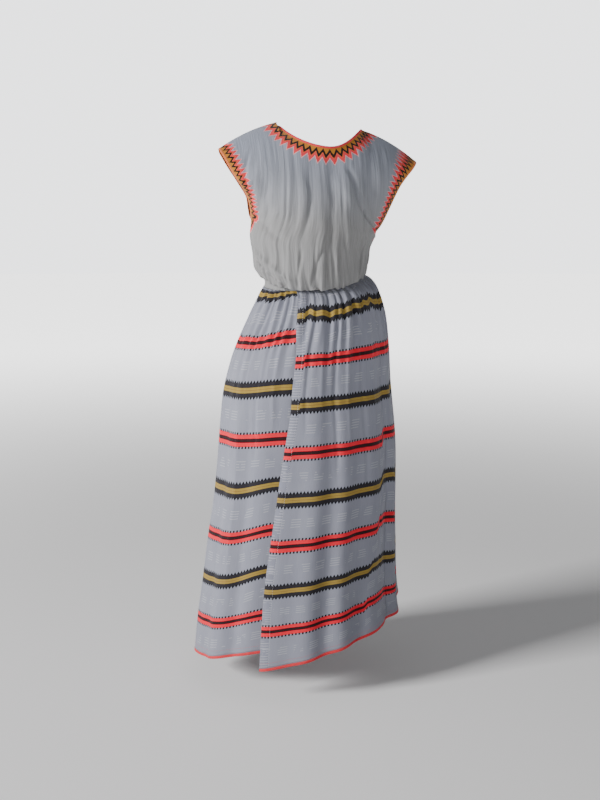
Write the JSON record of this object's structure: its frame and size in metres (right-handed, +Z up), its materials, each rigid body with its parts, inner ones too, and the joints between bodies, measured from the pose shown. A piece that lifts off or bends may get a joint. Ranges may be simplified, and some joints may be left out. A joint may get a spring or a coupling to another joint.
{
  "type": "habesha dress",
  "caption": "Long dress held in its worn form: bloused gauze bodice with cap sleeves, and a full gathered skirt whose front panel laps over the other one.",
  "frame": {"origin": "half way between the two points where the neckline meets the shoulder seams, where the wearer's shoulders carry the dress", "axes": "+Z up along the dress from hem to neck, -Y towards the front, +X towards the right as seen from the front"},
  "size_m": [0.613, 0.4685, 1.4142],
  "materials": {
    "gauze": "crinkled warm grey cotton gauze",
    "cotton": "thin bluish white hand-woven cotton",
    "red_trim": "red cotton binding",
    "gold_trim": "orange gold cotton binding"
  },
  "bodies": {
    "root": {"bodice_front": "gauze", "bodice_back": "gauze", "waist_casing": "gauze", "skirt_over": "cotton", "skirt_under": "cotton", "skirt_back": "cotton", "neck_binding": "red_trim", "cuff_binding_left": "gold_trim", "cuff_binding_right": "gold_trim", "hem_binding_over": "red_trim", "hem_binding_under": "red_trim", "hem_binding_back": "red_trim"}
  },
  "joints": []
}
